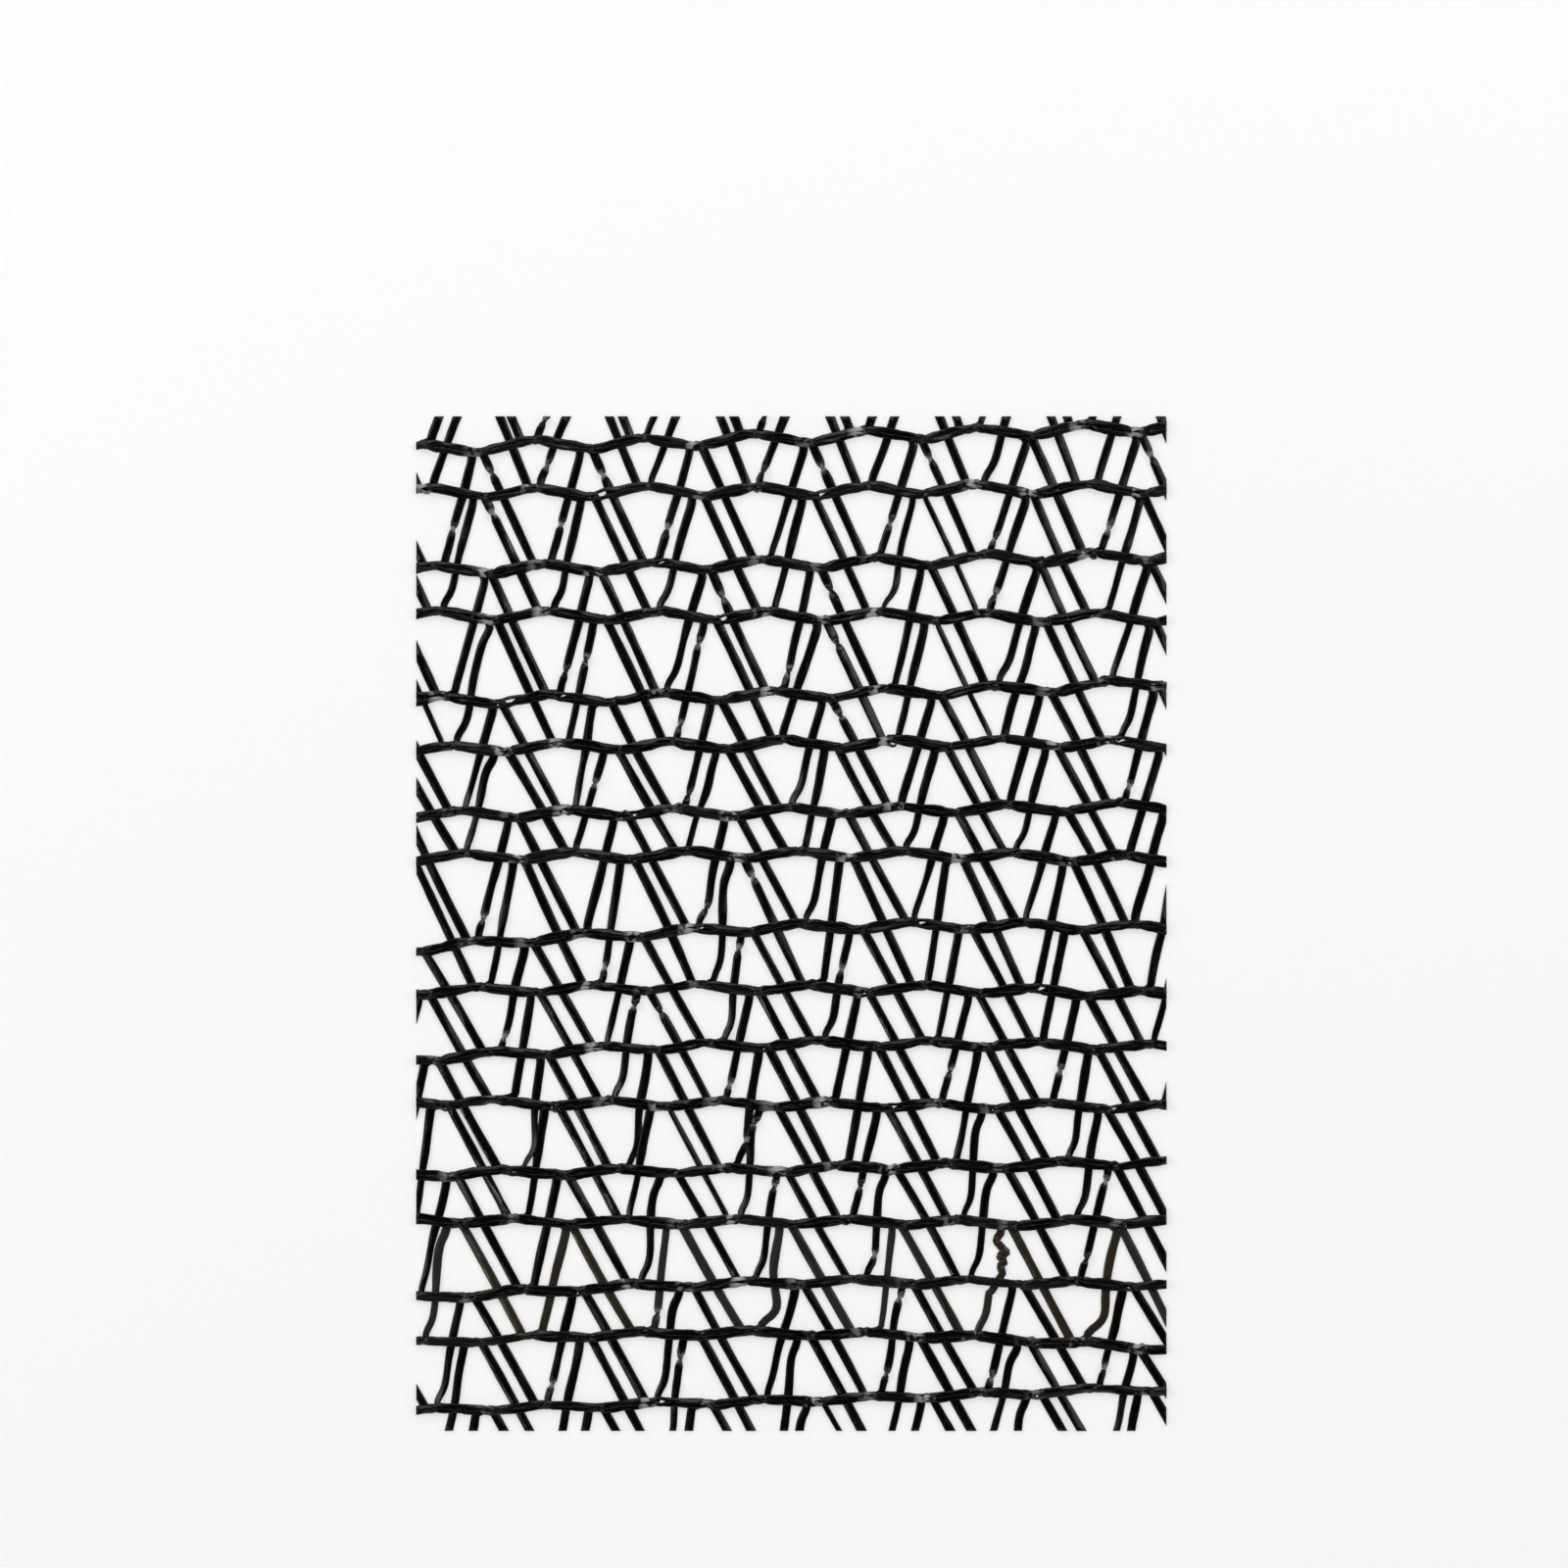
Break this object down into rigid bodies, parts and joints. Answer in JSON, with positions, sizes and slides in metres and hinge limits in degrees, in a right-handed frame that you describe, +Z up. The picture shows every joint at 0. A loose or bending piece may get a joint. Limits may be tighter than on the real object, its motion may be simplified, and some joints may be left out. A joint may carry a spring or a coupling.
{
  "type": "knitted shade net length",
  "caption": "Flat cut length of black knitted shade net: looped tape chains joined by zigzag tapes, with open triangular gaps, for shading plants or seating.",
  "frame": {"origin": "on the surface the net lies on, under the middle of the cut length", "axes": "+X along the knitted chains, +Y across the chains towards the first one, +Z up out of the surface"},
  "size_m": [0.158, 0.2136, 0.002],
  "materials": {
    "black_tape": "glossy black polyethylene tape, folded and creased, with small pale glints where it twists"
  },
  "bodies": {
    "root": {"net": "black_tape"}
  },
  "joints": []
}
